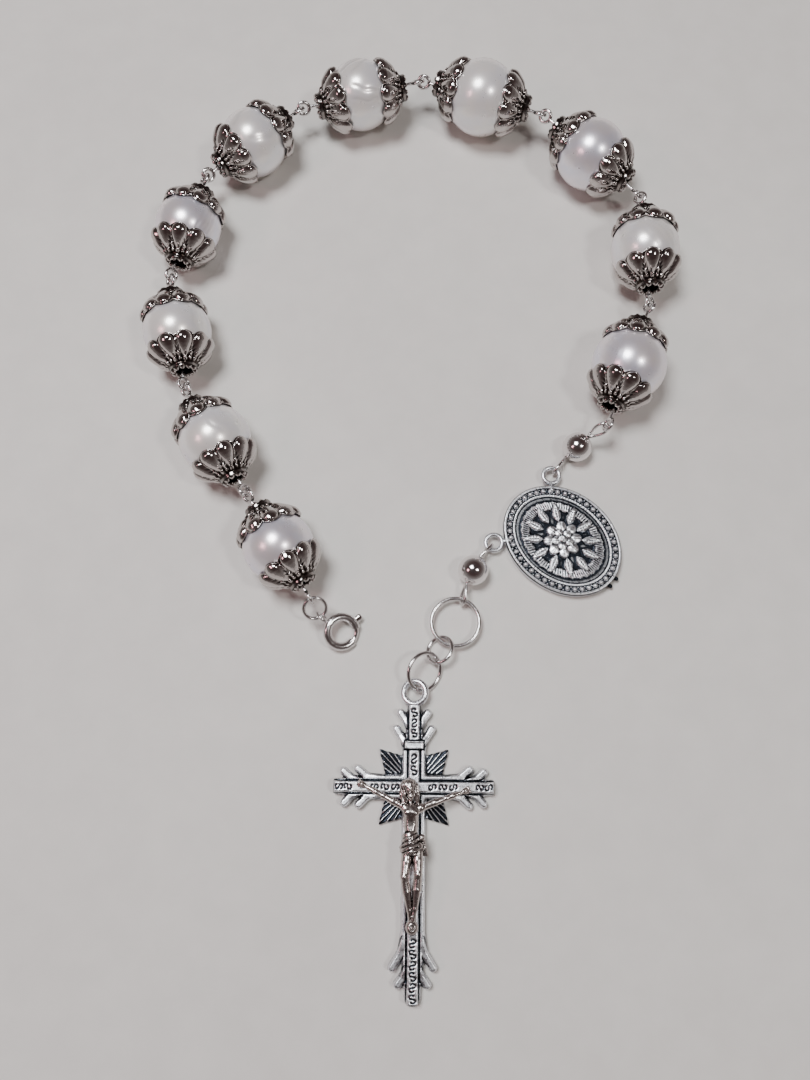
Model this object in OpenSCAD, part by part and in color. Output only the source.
// Opened bracelet of ten pearls with flower caps, an oval medal and a cross, lying on a flat surface.
// X runs to the right, Y away from the cross, Z up; the origin is below the middle of the whole piece.

/* [Pearls] */
// Width of a pearl of share 1
pearl_d = 10; // [9.8:0.1:10.2]
// Hole drilled through each pearl
bore_d = 1.0; // [0.9:0.05:1.1]

/* [Flower caps] */
// Width of the flared mouth
cap_d = 9.2; // [9.15:0.05:9.3]
// Height from the mouth to the rim of the hole
cap_h = 4.2; // [4.1:0.05:4.3]
// Width of the edge that rests on the pearl
seat_d = 7.8; // [7.7:0.05:7.85]
// Width of the hollow's round bowl
bowl_d = 8.8; // [8.7:0.05:8.9]
// Hole for the pin
cap_hole_d = 2.1; // [2.0:0.1:2.2]
// Width of the round end of a petal
petal_d = 2.6; // [2.5:0.05:2.65]
// Depth of the notches between the petals
notch = 0.62; // [0.55:0.01:0.66]
// Width of the granules round the hole
granule_d = 0.72; // [0.6:0.02:0.74]

/* [Pins] */
// Middle width of a round eye
eye_d = 1.6; // [1.55:0.05:1.7]
// Wire of the eyes
eye_wire = 0.52; // [0.5:0.02:0.54]
// Straight part of a pin
pin_d = 0.46; // [0.4:0.02:0.5]

/* [Plain balls] */
// Width of a ball
ball_d = 4; // [3.9:0.1:4.1]
// Middle width of a drop-shaped eye
drop_w = 1.5; // [1.46:0.02:1.54]
// Wire of the ball pins
drop_wire = 0.46; // [0.4:0.02:0.5]

/* [Medal] */
// Length of the oval
medal_l = 16.9; // [16.7:0.1:17.1]
// Width of the oval
medal_w = 13.6; // [13.4:0.1:13.8]
// Thickness of the plate
medal_t = 1.3; // [1.2:0.05:1.4]
// Width of a side loop
medal_loop_d = 2.8; // [2.7:0.05:2.9]

/* [Rings] */
// Width of the end ring
end_ring_d = 6.8; // [6.7:0.1:6.9]
// Width of the small jump ring
link_small_d = 4.1; // [4.05:0.05:4.2]
// Width of the large jump ring
link_large_d = 5.4; // [5.3:0.05:5.5]
// Wire of the jump rings
link_wire = 0.52; // [0.48:0.02:0.54]
// Width of the jump ring at the clasp
clasp_link_d = 3.4; // [3.35:0.05:3.5]

/* [Clasp] */
// Width of the spring ring
clasp_d = 5; // [4.9:0.1:5.1]
// Thickness of its tube
clasp_tube = 1.1; // [1.06:0.02:1.14]
// Thickness of the sliding bolt
bolt_d = 0.66; // [0.64:0.02:0.68]

/* [Cross] */
// Height of the cast cross without its bail
cross_h = 35.4; // [35:0.1:36]
// Span of the arms
cross_span = 20.2; // [20:0.1:20.4]
// Width of the shafts
shaft_w = 3; // [2.9:0.1:3.1]
// Thickness of the plate
cross_t = 1.2; // [1.1:0.05:1.3]
// Width of the bail
bail_d = 3.7; // [3.65:0.05:3.75]

/* [Hidden] */
$fn = 48;
tiny = 0.01;

// Where the mouth of the clasp end lies, and how each bead of the string follows
string_start = [-13.003, -15.917];
// Columns: heading, pearl width share, pearl length share, spare pin share of the eye, cap yaws, cap turns
HEAD = 0;
WIDE = 1;
LONG = 2;
SPARE = 3;
YAW_A = 4;
YAW_B = 5;
TURN_A = 6;
TURN_B = 7;
BEADS = [
    [121.8, 0.93, 1.00, 0.00, 3.5, -3.0, 0, 14],
    [121.1, 0.96, 1.00, 0.10, -3.0, 4.0, 9, 3],
    [100.1, 0.93, 1.00, 0.00, 2.5, 3.0, 20, 30],
    [75.6, 0.92, 1.00, 0.00, 4.0, -2.0, 5, 24],
    [40.1, 0.96, 1.00, 0.10, -2.0, 3.5, 12, 0],
    [14.3, 0.99, 1.00, 0.24, 3.0, -4.0, 27, 8],
    [-17.7, 1.06, 0.96, 0.00, -3.5, 2.0, 3, 18],
    [-44.8, 1.00, 1.00, 0.55, 2.0, 4.0, 16, 33],
    [-88.9, 0.95, 0.99, 0.00, -4.0, 2.5, 30, 6],
    [-110.9, 1.01, 1.00, 0.78, 4.5, -5.0, 10, 21]
];
beads = len(BEADS);

// Flower cap
petals = 10;
flare = 0.5;
seat_r = seat_d / 2;
seat_gap = 0.06;
bowl_r = bowl_d / 2;
bowl_z = flare - sqrt(bowl_r * bowl_r - seat_r * seat_r);
cap_r = cap_d / 2;
petal_r = petal_d / 2;
petal_end_r = 0.4;
petal_low = [3.2, 0.6];
collar_h = 0.85;
collar_w = 0.78;
petal_high = [1.1, cap_h - collar_h];
collar_r = cap_hole_d / 2 + collar_w;
lip_h = 0.2;
lip_back = [0.35, 0.72];
shell_in_r = 0.7;
notch_step = PI * cap_d / petals;
notch_arc = (notch_step * notch_step / 4 + notch * notch) / (2 * notch);

// Wire eyes
eye_r = eye_d / 2;
eye_play = 0.18;
link_play = 0.06;
eye_from_cap = 0.55;
eye_grip = eye_wire / 2 + eye_play / 2;

function dir(h) = [cos(h), sin(h), 0];
function unit(v) = v / norm(v);
function half_w(i) = pearl_d * BEADS[i][WIDE] / 2;
function half_l(i) = half_w(i) * BEADS[i][LONG];
function bulge(i) = (pow(half_l(i), 2) - pow(half_w(i), 2)) / (2 * half_w(i));
function arc_r(i) = half_w(i) + bulge(i);
function seat_at(i) = sqrt(pow(arc_r(i), 2) - pow(seat_r + bulge(i), 2)) + seat_gap;
function cap_tip(i) = seat_at(i) - flare + cap_h;
function eye_near(i) = cap_tip(i) + eye_from_cap + BEADS[i][SPARE] * eye_r;
function reach(i) = eye_near(i) + 2 * eye_r - eye_play / 2;
function height(i) = max(half_w(i), cap_r) + tiny;
function joint_xy(i) = i == 0 ? [string_start.x, string_start.y, 0]
    : joint_xy(i - 1) + 2 * reach(i - 1) * dir(BEADS[i - 1][HEAD]);
function joint_z(i) = max(height(max(i - 1, 0)), height(min(i, beads - 1)));
function joint(i) = joint_xy(i) + [0, 0, joint_z(i)];

// Balls, medal and rings follow from the end of the string
ball_r = ball_d / 2;
drop_r = drop_wire / 2;
last_joint = joint(beads);
ball_1_at = joint_xy(beads) + 0.97 * ball_d * dir(-154.6) + [0, 0, ball_r];
medal_heading = -40.5;
medal_a = medal_l / 2;
medal_b = medal_w / 2;
medal_loop_wire = 0.6;
medal_loop_r = (medal_loop_d - medal_loop_wire) / 2;
medal_loop_z = 1.08;
medal_loop_u = -0.795 * medal_a;
medal_loop_v = 0.905 * medal_b;
medal_loop_1 = [ball_1_at.x, ball_1_at.y, medal_loop_z] + 1.29 * ball_d * dir(-133.1);
medal_at = medal_loop_1 - medal_loop_u * dir(medal_heading)
    - medal_loop_v * dir(medal_heading + 90) - [0, 0, medal_loop_z];
medal_loop_2 = medal_at + medal_loop_u * dir(medal_heading)
    - medal_loop_v * dir(medal_heading + 90) + [0, 0, medal_loop_z];
ball_2_at = [medal_loop_2.x, medal_loop_2.y, ball_r] + 1.22 * ball_d * dir(-126);
end_ring_wire = 0.56;
end_ring_r = (end_ring_d - end_ring_wire) / 2;
end_ring_z = 1.3;
ring_entry = [ball_2_at.x, ball_2_at.y, end_ring_z] + 1.02 * ball_d * dir(-106);
end_ring_at = ring_entry + end_ring_r * dir(-114);
link_r = link_wire / 2;
small_r = link_small_d / 2 - link_r;
large_r = link_large_d / 2 - link_r;
small_roll = 36;
large_roll = -38;
small_heading = -120;
large_heading = -120;
small_at = [end_ring_at.x, end_ring_at.y, link_r + small_r * sin(small_roll) + tiny]
    + 0.95 * (end_ring_r - end_ring_wire / 2 + small_r - link_r) * dir(small_heading);
large_at = [small_at.x, small_at.y, link_r + large_r * sin(-large_roll) + tiny]
    + 0.94 * (small_r + large_r - 2 * link_r) * dir(-125);
bail_wire = 0.8;
bail_r = (bail_d - bail_wire) / 2;
bail_z = 1.4;
bail_roll = 14;
cross_heading = -90.6;
bail_at = [large_at.x, large_at.y, bail_z]
    + 0.9 * (large_r - link_r + bail_r - bail_wire / 2) * dir(-116);
cross_arm_y = 11.65 / 35.4 * cross_h;
cross_at = [bail_at.x, bail_at.y, 0] + cross_arm_y * dir(cross_heading);

// Clasp end of the string
clasp_link_wire = 0.5;
clasp_link_r = (clasp_link_d - clasp_link_wire) / 2;
clasp_link_dir = unit([0.4, -0.78, -0.62]);
clasp_link_roll = 5;
clasp_eye_roll = 20;
first_eye = joint(0) + (eye_r - eye_grip) * dir(BEADS[0][HEAD]);
first_hook = eye_r - eye_wire / 2 - clasp_link_wire / 2 - link_play;
clasp_link_at = first_eye + (first_hook + clasp_link_r) * clasp_link_dir;
clasp_heading = -34;
clasp_mid_r = (clasp_d - clasp_tube) / 2;
clasp_eye_wire = 0.48;
clasp_eye_r = 0.76;
clasp_hook = clasp_link_r - clasp_link_wire / 2 - clasp_eye_wire / 2 - link_play;
clasp_from = clasp_link_at + clasp_hook * clasp_link_dir;
clasp_eye_u = clasp_d / 2 + clasp_eye_r + clasp_eye_wire / 2 - 0.22;
clasp_arm = clasp_eye_u + clasp_eye_r;
clasp_pitch = asin((clasp_from.z - clasp_tube / 2) / (clasp_arm + clasp_mid_r));
clasp_at = clasp_from + clasp_arm * cos(clasp_pitch) * dir(clasp_heading)
    - [0, 0, clasp_arm * sin(clasp_pitch)];
mouth_from = -4;
mouth_to = 49;
tab_at = 74;
tab_half = 11;
bolt_travel = 55;
bolt_bore = bolt_d + 0.1;

// Ball pins: the far wire of each drop-shaped eye lies inside the loop that it holds
last_step = unit(joint(beads) - joint(beads - 1));
last_eye = last_joint - (eye_r - eye_grip) * last_step;
medal_hole_r = medal_loop_r - medal_loop_wire / 2;
end_hole_r = end_ring_r - end_ring_wire / 2;
function hook_at(ring_at, toward, inner_r) =
    ring_at + (inner_r - drop_r - link_play) * unit(toward - ring_at);
function level(at, z) = [at.x, at.y, z];
pin_1_top = hook_at(last_eye, ball_1_at, eye_r - eye_wire / 2 - 2 * link_play);
pin_1_low = hook_at(medal_loop_1, level(ball_1_at, medal_loop_z), medal_hole_r) - [0, 0, 0.13];
pin_2_top = hook_at(medal_loop_2, level(ball_2_at, medal_loop_z), medal_hole_r) - [0, 0, 0.2];
pin_2_low = hook_at(end_ring_at, level(ball_2_at, end_ring_z), end_hole_r) - [0, 0, 0.2];

function num(i) = i < 9 ? str("0", i + 1) : str(i + 1);
function bead_name(kind, i) = str(kind, "_", num(i));
function cap_name(i, end) = str("cap_", num(i), end);

pearl_colour = [0.93, 0.91, 0.90];
cap_colour = [0.78, 0.78, 0.80];
wire_colour = [0.74, 0.74, 0.76];
cast_colour = [0.62, 0.63, 0.66];
figure_colour = [0.66, 0.63, 0.60];

// Puts a piece whose own axis is Z on bead i, with that axis along the string
module on_bead(i) {
    from = joint(i);
    to = joint(i + 1);
    step = to - from;
    translate((from + to) / 2)
        rotate([0, -asin(step.z / norm(step)), atan2(step.y, step.x)])
            rotate([0, 90, 0])
                children();
}

// Puts a piece whose length runs along X at a point, turned to a heading and rolled about that length
module lie(at, heading, pitch = 0, roll = 0) {
    translate(at)
        rotate([0, 0, heading])
            rotate([0, -pitch, 0])
                rotate([roll, 0, 0])
                    children();
}

module torus(middle_r, wire) {
    rotate_extrude()
        translate([middle_r, 0])
            circle(d = wire);
}

module pearl(i) {
    limit = 2 * half_w(i);
    color(pearl_colour)
        on_bead(i)
            rotate_extrude()
                difference() {
                    translate([-bulge(i), 0])
                        circle(r = arc_r(i));
                    translate([-2 * limit, -limit])
                        square([2 * limit + bore_d / 2, 2 * limit]);
                }
}

// Bell with a flared lip and a collar round the hole
module cap_shell() {
    rotate_extrude()
        polygon([[shell_in_r, 0], [cap_r, 0], [cap_r, lip_h], [cap_r - lip_back.x, lip_back.y],
                 [collar_r, cap_h - collar_h], [collar_r, cap_h - granule_d / 2],
                 [shell_in_r, cap_h - granule_d / 2]]);
}

// Long drop whose round end lies at the mouth
module petal() {
    along = petal_high - petal_low;
    translate([petal_low.x, 0, petal_low.y]) {
        sphere(r = petal_r);
        rotate([0, atan2(along.x, along.y), 0])
            cylinder(r1 = petal_r, r2 = petal_end_r, h = norm(along));
    }
}

// Pointed gap between two round petal ends
module petal_notch() {
    translate([bowl_r - 1.4, 0, 0])
        rotate([90, 0, 90])
            linear_extrude(2)
                difference() {
                    translate([-notch_step / 2, -1])
                        square([notch_step, 1 + notch]);
                    for (side = [-1, 1])
                        translate([side * notch_step / 2, notch_arc])
                            circle(r = notch_arc);
                }
}

// Cap with its mouth at Z 0 and its hole above
module cap() {
    difference() {
        union() {
            cap_shell();
            for (k = [0 : petals - 1])
                rotate([0, 0, k * 360 / petals])
                    petal();
            for (k = [0 : petals - 1])
                rotate([0, 0, (k + 0.5) * 360 / petals])
                    translate([(cap_hole_d / 2 + collar_r) / 2, 0, cap_h - granule_d / 2])
                        sphere(d = granule_d);
        }
        translate([0, 0, bowl_z])
            sphere(r = bowl_r);
        translate([0, 0, flare - tiny])
            mirror([0, 0, 1])
                cylinder(r1 = seat_r, r2 = seat_r + 2 * flare, h = 2 * flare);
        cylinder(d = cap_hole_d, h = 2 * cap_d);
        for (k = [0 : petals - 1])
            rotate([0, 0, (k + 0.5) * 360 / petals])
                petal_notch();
    }
}

module cap_a(i) {
    color(cap_colour)
        on_bead(i)
            rotate([-BEADS[i][YAW_A], 0, 0])
                mirror([0, 0, 1])
                    translate([0, 0, seat_at(i) - flare])
                        rotate([0, 0, BEADS[i][TURN_A]])
                            cap();
}

module cap_b(i) {
    color(cap_colour)
        on_bead(i)
            rotate([-BEADS[i][YAW_B], 0, 0])
                translate([0, 0, seat_at(i) - flare])
                    rotate([0, 0, BEADS[i][TURN_B]])
                        cap();
}

// Eyes of neighbours stand across each other; the first and the last one suit what they hold
function eye_turn(i, end) = i == 0 && end < 0 ? 0 : i == beads - 1 && end > 0 ? -30 : end * 45;

module pin(i) {
    half = norm(joint(i + 1) - joint(i)) / 2;
    eye_mid = half + eye_play / 2 + eye_wire / 2 - eye_r;
    color(wire_colour)
        on_bead(i)
            union() {
                translate([0, 0, eye_r - eye_mid])
                    cylinder(d = pin_d, h = 2 * (eye_mid - eye_r));
                for (end = [-1, 1])
                    translate([0, 0, end * eye_mid])
                        rotate([90, 0, eye_turn(i, end)])
                            torus(eye_r, eye_wire);
            }
}

module ball(at, axis) {
    color(cap_colour)
        translate(at)
            rotate([0, acos(axis.z), atan2(axis.y, axis.x)])
                rotate_extrude()
                    difference() {
                        circle(r = ball_r);
                        translate([-ball_d, -ball_r])
                            square([ball_d + drop_r + 0.08, ball_d]);
                    }
}

// Tube of six sides along a flat drop outline, from the apex to the round end, made as two equal halves
drop_steps = 12;
drop_sides = 6;
drop_start = 12;
drop_full = 0.77;
function drop_angle(k) = drop_start + (180 - drop_start) * k / drop_steps;
function drop_point(t, length) = [
    length * (1 - cos(t)) / 2,
    drop_w / 2 / drop_full * sin(t) * sin(t / 2),
    0
];
function drop_across(t, length) =
    unit(cross([0, 0, 1], drop_point(t + 1, length) - drop_point(t - 1, length)));

module drop_eye(from, to, roll) {
    length = norm(to - from);
    step = (to - from) / length;
    rings = [for (k = [0 : drop_steps], s = [0 : drop_sides - 1])
        let (t = drop_angle(k), a = 360 * s / drop_sides)
        drop_point(t, length) + drop_r * (cos(a) * drop_across(t, length) + sin(a) * [0, 0, 1])];
    sides = [for (k = [0 : drop_steps - 1], s = [0 : drop_sides - 1], half = [0, 1])
        let (p = k * drop_sides + s, q = k * drop_sides + (s + 1) % drop_sides)
        half == 0 ? [p, p + drop_sides, q + drop_sides] : [p, q + drop_sides, q]];
    first = [for (s = [0 : drop_sides - 1]) s];
    last = [for (s = [drop_sides - 1 : -1 : 0]) drop_steps * drop_sides + s];
    translate(from)
        rotate([0, -asin(step.z), atan2(step.y, step.x)])
            rotate([roll, 0, 0])
                for (side = [0, 1])
                    mirror([0, side, 0])
                        polyhedron(rings, concat([first], sides, [last]));
}

module ball_pin(at, axis, top, low, top_roll, low_roll) {
    apex = ball_r + 0.05;
    color(wire_colour)
        union() {
            translate(at)
                rotate([0, acos(axis.z), atan2(axis.y, axis.x)])
                    cylinder(r = drop_r, h = 2 * apex + 0.5, center = true, $fn = 12);
            drop_eye(at + apex * axis, top, top_roll);
            drop_eye(at - apex * axis, low, low_roll);
        }
}

function oval(inset) = [for (t = [0 : 5 : 355])
    [(medal_a - inset) * cos(t), (medal_b - inset) * sin(t)]];

module oval_band(outer, inner, height) {
    linear_extrude(height)
        difference() {
            polygon(oval(outer));
            polygon(oval(inner));
        }
}

// Oval medal lying flat, its long side along X, with a rose and leaves in a border of granules
border = 44;
border_r = 0.34;
border_inset = 0.83;
border_lift = 0.04;
rim_w = 0.35;
rim_rise = 0.22;
line_inset = 1.3;
line_w = 0.25;
line_rise = 0.16;
leaves = 12;
leaf_rise = 0.24;
leaf_share = 0.42;
LEAF = [[-0.7, 0], [0.2, 0.5], [1.0, 0.42], [1.9, 0], [1.0, -0.42], [0.2, -0.5]];
rose_petals = 8;
rose_r = 1.5;
rose_petal_r = 0.85;
rose_petal_rise = 0.5;
rose_heart_r = 0.8;
rose_heart_rise = 0.7;
neck_turn = -48;
neck_size = [1.6, 1.1, 0.66];
neck_low = 0.36;
stub_size = [0.85, 0.6, 0.6];
stub_at = [-0.3, 0.65, 0.35];

module medal() {
    color(cast_colour)
        translate(medal_at)
            rotate([0, 0, medal_heading])
                union() {
                    linear_extrude(medal_t)
                        polygon(oval(0));
                    oval_band(0, rim_w, medal_t + rim_rise);
                    oval_band(line_inset, line_inset + line_w, medal_t + line_rise);
                    for (k = [0 : border - 1])
                        let (t = 360 * (k + 0.5) / border)
                            translate([(medal_a - border_inset) * cos(t), (medal_b - border_inset) * sin(t),
                                       medal_t + border_lift])
                                sphere(r = border_r);
                    for (k = [0 : leaves - 1])
                        let (t = 360 * (k + 0.5) / leaves)
                            translate([leaf_share * medal_a * cos(t), leaf_share * medal_b * sin(t), 0])
                                rotate([0, 0, atan2(medal_b * sin(t), medal_a * cos(t))])
                                    linear_extrude(medal_t + leaf_rise)
                                        polygon(LEAF);
                    for (k = [0 : rose_petals - 1])
                        rotate([0, 0, 360 * k / rose_petals])
                            translate([rose_r, 0, medal_t + rose_petal_rise - rose_petal_r])
                                sphere(r = rose_petal_r);
                    translate([0, 0, medal_t + rose_heart_rise - rose_heart_r])
                        sphere(r = rose_heart_r);
                    for (side = [-1, 1])
                        mirror([0, side < 0 ? 1 : 0, 0])
                            translate([medal_loop_u, medal_loop_v, medal_loop_z]) {
                                torus(medal_loop_r, medal_loop_wire);
                                rotate([0, 0, neck_turn])
                                    translate([medal_loop_r - 0.1, -neck_size.y / 2, -neck_low])
                                        cube(neck_size);
                            }
                    for (side = [-1, 1])
                        translate([medal_a + stub_at.x, side * stub_at.y - stub_size.y / 2, stub_at.z])
                            cube(stub_size);
                }
}

module end_ring() {
    color(wire_colour)
        lie(end_ring_at, small_heading)
            torus(end_ring_r, end_ring_wire);
}

module link_small() {
    color(wire_colour)
        lie(small_at, small_heading, 0, small_roll)
            torus(small_r, link_wire);
}

module link_large() {
    color(wire_colour)
        lie(large_at, large_heading, 0, large_roll)
            torus(large_r, link_wire);
}

module clasp_link() {
    color(wire_colour)
        lie(clasp_link_at, atan2(clasp_link_dir.y, clasp_link_dir.x), asin(clasp_link_dir.z),
            clasp_link_roll)
            torus(clasp_link_r, clasp_link_wire);
}

module on_clasp() {
    lie(clasp_at, clasp_heading, -clasp_pitch)
        children();
}

module clasp_arc(from, to, thick) {
    rotate([0, 0, from])
        rotate_extrude(angle = to - from)
            translate([clasp_mid_r, 0])
                circle(d = thick);
}

// Hollow spring ring: a gap for the mouth, a bore for the bolt, a slot for its tab and an eye across it
module clasp_body() {
    tip_room = 8;
    tail_room = 22;
    slot_from = tab_at - tab_half - 2;
    slot_to = tab_at + tab_half + bolt_travel + 2;
    slot_half = 0.25;
    color(cap_colour)
        on_clasp()
            difference() {
                union() {
                    clasp_arc(mouth_to, 360 + mouth_from, clasp_tube);
                    translate([-clasp_eye_u, 0, 0])
                        rotate([90 + clasp_eye_roll, 0, 0])
                            torus(clasp_eye_r, clasp_eye_wire);
                }
                clasp_arc(mouth_to - 1, tab_at + bolt_travel + tail_room, bolt_bore);
                clasp_arc(360 + mouth_from - tip_room, 361 + mouth_from, bolt_bore);
                rotate([0, 0, slot_from])
                    rotate_extrude(angle = slot_to - slot_from)
                        translate([clasp_mid_r, -slot_half])
                            square([clasp_tube, 2 * slot_half]);
            }
}

// Bolt that slides round inside the ring, with a thumb tab outside
module clasp_bolt() {
    tip = 6;
    tail = 16;
    stem_half = 0.2;
    color(wire_colour)
        on_clasp()
            union() {
                clasp_arc(mouth_from - tip, tab_at + tail, bolt_d);
                rotate([0, 0, tab_at - tab_half])
                    rotate_extrude(angle = 2 * tab_half)
                        translate([clasp_mid_r, -stem_half])
                            square([clasp_tube / 2 + 0.85, 2 * stem_half]);
            }
}

// Sizes of the cross as shares of its height and span, from the crossing; the right half is listed
span_share = cross_span / 20.2;
height_share = cross_h / 35.4;
shaft_share = shaft_w / 3;
function on_cross(x, y) = [x * span_share, y * height_share];
function both(points) = concat(
    [for (p = points) [p.x * shaft_share, p.y * height_share]],
    [for (k = [len(points) - 1 : -1 : 0]) [-points[k].x * shaft_share, points[k].y * height_share]]
);
bar_half = 0.7;
bar_top = 2;
ridge_half = 0.16;
ridge_top = 1.6;
prong_r = 0.42;
scroll_r = 0.36;
scroll_wire = 0.24;
scroll_arc = 215;
plaque_size = [2.4, 1.05, 0.3];
plaque_y = 5.1;
ray_share = 0.75;
BAR_ENDS = [9.3, 9.6, -24.2];
RIDGES = [[-18.3, -1.6], [1.6, 5.2]];
POST_SCROLLS = [[-23.3, 40], [-22.05, 220], [-20.8, 40], [-19.55, 220], [7.0, 40], [8.3, 220]];
ARM_SCROLLS = [[-8.7, 30], [8.7, 150]];
POST_EDGE = [
    [0.8, 10.2], [0.88, 9.6], [0.88, 7.3], [1.5, 5.0], [1.5, -18.6], [1.25, -20.6], [1.0, -21.4],
    [1.0, -24.3], [0.75, -25.0], [0.3, -25.2]
];
ARM_EDGE = [
    [0, 1.5], [5.2, 1.45], [7.0, 1.05], [10.1, 0.95], [10.1, -0.95], [7.0, -1.05], [5.2, -1.45], [0, -1.5]
];
PRONGS = [
    [[0.7, 8.2], [1.7, 9.1]], [[1.1, 5.8], [2.2, 7.1]],
    [[1.1, -19.2], [2.5, -20.9]], [[0.8, -21.5], [1.8, -22.8]],
    [[4.9, 0.9], [7.0, 2.15]], [[7.1, 0.6], [8.8, 1.85]],
    [[5.0, -0.9], [6.9, -2.2]], [[7.2, -0.6], [8.7, -2.0]]
];
RAY_PANEL = [[1.4, 1.4], [1.52, 3.9], [4.5, 4.7], [3.66, 1.4]];

// Finger with a round tip that leaves a shaft
module prong(from, to) {
    step = to - from;
    translate(from)
        rotate(atan2(step.y, step.x)) {
            translate([0, -prong_r])
                square([norm(step), 2 * prong_r]);
            translate([norm(step), 0])
                circle(r = prong_r);
        }
}

module cross_plate() {
    linear_extrude(cross_t)
        union() {
            polygon(both(POST_EDGE));
            for (side = [-1, 1]) {
                polygon([for (p = ARM_EDGE) on_cross(side * p.x, p.y)]);
                for (p = PRONGS)
                    prong(on_cross(side * p[0].x, p[0].y), on_cross(side * p[1].x, p[1].y));
            }
        }
    linear_extrude(ray_share * cross_t)
        for (side = [-1, 1], up = [-1, 1])
            polygon([for (p = RAY_PANEL) on_cross(side * p.x, up * p.y)]);
}

module bar(from, to, half, top) {
    translate([from.x - half, from.y - half, 0])
        cube([to.x - from.x + 2 * half, to.y - from.y + 2 * half, top]);
}

module scroll(x, y, turn) {
    translate([x, y, bar_top])
        rotate([0, 0, turn])
            rotate_extrude(angle = scroll_arc)
                translate([scroll_r, 0])
                    circle(d = scroll_wire);
}

module cross_cast() {
    post_top = on_cross(0, BAR_ENDS[1]);
    post_low = on_cross(0, BAR_ENDS[2]);
    arm_end = on_cross(BAR_ENDS[0], 0);
    plaque = on_cross(0, plaque_y);
    edge = shaft_w / 2 - 0.02 - ridge_half;
    color(cast_colour)
        translate(cross_at)
            rotate([0, 0, cross_heading + 90])
                union() {
                    cross_plate();
                    bar(post_low, post_top, bar_half, bar_top);
                    bar(-arm_end, arm_end, bar_half, bar_top);
                    for (side = [-1, 1]) {
                        for (y = RIDGES)
                            bar(on_cross(side * edge, y[0]), on_cross(side * edge, y[1]),
                                ridge_half, ridge_top);
                        for (up = [-1, 1])
                            bar([side < 0 ? -arm_end.x / 2 : edge, up * edge],
                                [side < 0 ? -edge : arm_end.x / 2, up * edge], ridge_half, ridge_top);
                    }
                    for (p = POST_SCROLLS)
                        scroll(0, on_cross(0, p[0]).y, p[1]);
                    for (p = ARM_SCROLLS)
                        scroll(on_cross(p[0], 0).x, 0, p[1]);
                    translate([-plaque_size.x / 2, plaque.y - plaque_size.y / 2, 0])
                        cube([plaque_size.x, plaque_size.y, bar_top + plaque_size.z]);
                    translate([0, cross_arm_y, bail_z])
                        rotate([0, -bail_roll, 0])
                            torus(bail_r, bail_wire);
                }
}

// Cast figure of generic form that lies on the bars.
// Columns: start and end of a limb as X, Y and height over the bar, and the radius at each end
figure_lift = 0.03;
LIMBS = [
    [[-0.62, 0.1, 1.5], [-0.5, -0.75, 1.55], 1.12, 0.85],
    [[-0.4, -1.3, 1.0], [-0.3, -2.4, 0.95], 0.6, 0.7],
    [[-1.05, -2.4, 1.0], [0.75, -2.5, 1.0], 0.72, 0.72],
    [[-0.3, -2.9, 1.05], [-0.35, -4.9, 0.95], 1.05, 0.85],
    [[-0.35, -4.9, 0.95], [-0.25, -6.3, 1.0], 0.85, 1.0],
    [[-1.3, -2.2, 0.85], [-3.8, -1.0, 0.75], 0.52, 0.44],
    [[-3.8, -1.0, 0.75], [-6.1, 0.15, 0.5], 0.44, 0.32],
    [[-6.1, 0.15, 0.45], [-6.9, 0.3, 0.4], 0.42, 0.3],
    [[1.0, -2.3, 0.85], [4.1, -1.2, 0.75], 0.52, 0.44],
    [[4.1, -1.2, 0.75], [6.1, -0.5, 0.5], 0.44, 0.32],
    [[6.1, -0.5, 0.45], [6.9, -0.55, 0.4], 0.42, 0.3],
    [[-0.8, -6.3, 1.05], [-0.85, -7.4, 1.1], 1.0, 1.0],
    [[0.55, -6.3, 1.05], [0.5, -7.5, 1.1], 1.0, 1.05],
    [[1.45, -6.2, 0.9], [1.6, -7.9, 0.6], 0.5, 0.4],
    [[-0.8, -7.4, 1.1], [-0.95, -10.2, 1.3], 0.85, 0.66],
    [[0.5, -7.5, 1.1], [0.65, -10.0, 1.3], 0.85, 0.66],
    [[-0.95, -10.2, 1.3], [-0.4, -14.0, 0.7], 0.66, 0.44],
    [[0.65, -10.0, 1.3], [0.15, -13.9, 0.75], 0.66, 0.44],
    [[-0.25, -14.0, 0.65], [-0.15, -15.5, 0.42], 0.6, 0.42],
    [[-0.15, -15.4, 0.42], [-0.1, -16.5, 0.62], 0.4, 0.6]
];

module limb(from, to, r1, r2) {
    low = bar_top + figure_lift;
    hull() {
        translate([from.x * span_share, from.y * height_share, low + from.z * height_share])
            sphere(r = r1 * height_share, $fn = 10);
        translate([to.x * span_share, to.y * height_share, low + to.z * height_share])
            sphere(r = r2 * height_share, $fn = 10);
    }
}

module corpus() {
    color(figure_colour)
        translate(cross_at)
            rotate([0, 0, cross_heading + 90])
                union()
                    for (p = LIMBS)
                        limb(p[0], p[1], p[2], p[3]);
}

ball_1_axis = unit(pin_1_top - pin_1_low);
ball_2_axis = unit(pin_2_top - pin_2_low);

for (i = [0 : beads - 1]) {
    pearl(i);
    cap_a(i);
    cap_b(i);
    pin(i);
}
ball(ball_1_at, ball_1_axis);  // ball_1
ball(ball_2_at, ball_2_axis);  // ball_2
ball_pin(ball_1_at, ball_1_axis, pin_1_top, pin_1_low, 45, 90);  // ball_pin_1
ball_pin(ball_2_at, ball_2_axis, pin_2_top, pin_2_low, 90, 70);  // ball_pin_2
medal();
end_ring();
link_small();
link_large();
clasp_link();
clasp_body();
clasp_bolt();
cross_cast();  // cross
corpus();
